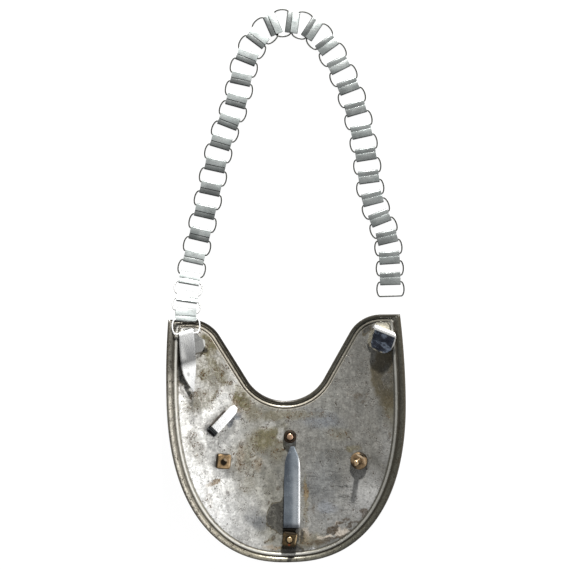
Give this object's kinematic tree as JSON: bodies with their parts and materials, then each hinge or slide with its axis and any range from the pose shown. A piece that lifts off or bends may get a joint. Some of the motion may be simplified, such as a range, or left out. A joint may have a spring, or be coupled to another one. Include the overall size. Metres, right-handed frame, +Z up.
{
  "type": "steel gorget",
  "caption": "Crescent-shaped bent steel neck plate with a rolled border, seen from its hollow back, with hooks, clip, tongue, screws and a flat-link neck chain.",
  "frame": {"origin": "on the surface that the gorget lies on, under the middle of its whole box", "axes": "+X across the plate to the chain's free end, +Y from the plate's lower edge to its horns and on to the chain, +Z up, away from the plate's front"},
  "size_m": [0.1772, 0.414, 0.0303],
  "materials": {
    "plate_steel": "worn nickel-bright steel with tarnish",
    "fitting_steel": "bright worn steel",
    "dark_steel": "dull dark steel",
    "brass": "dull brass",
    "dark_brass": "tarnished brass",
    "chain_steel": "brushed, worn"
  },
  "bodies": {
    "root": {"gorget_plate": "plate_steel", "top_screw": "brass", "top_nut": "dark_steel", "left_screw": "brass", "left_nut": "brass", "right_screw": "brass", "right_nut": "brass", "bottom_screw": "brass", "bottom_nut": "dark_brass", "chain_hook": "fitting_steel", "chain_catch": "dark_steel", "side_clip": "fitting_steel", "centre_tongue": "dark_steel", "neck_chain": "chain_steel"}
  },
  "joints": []
}
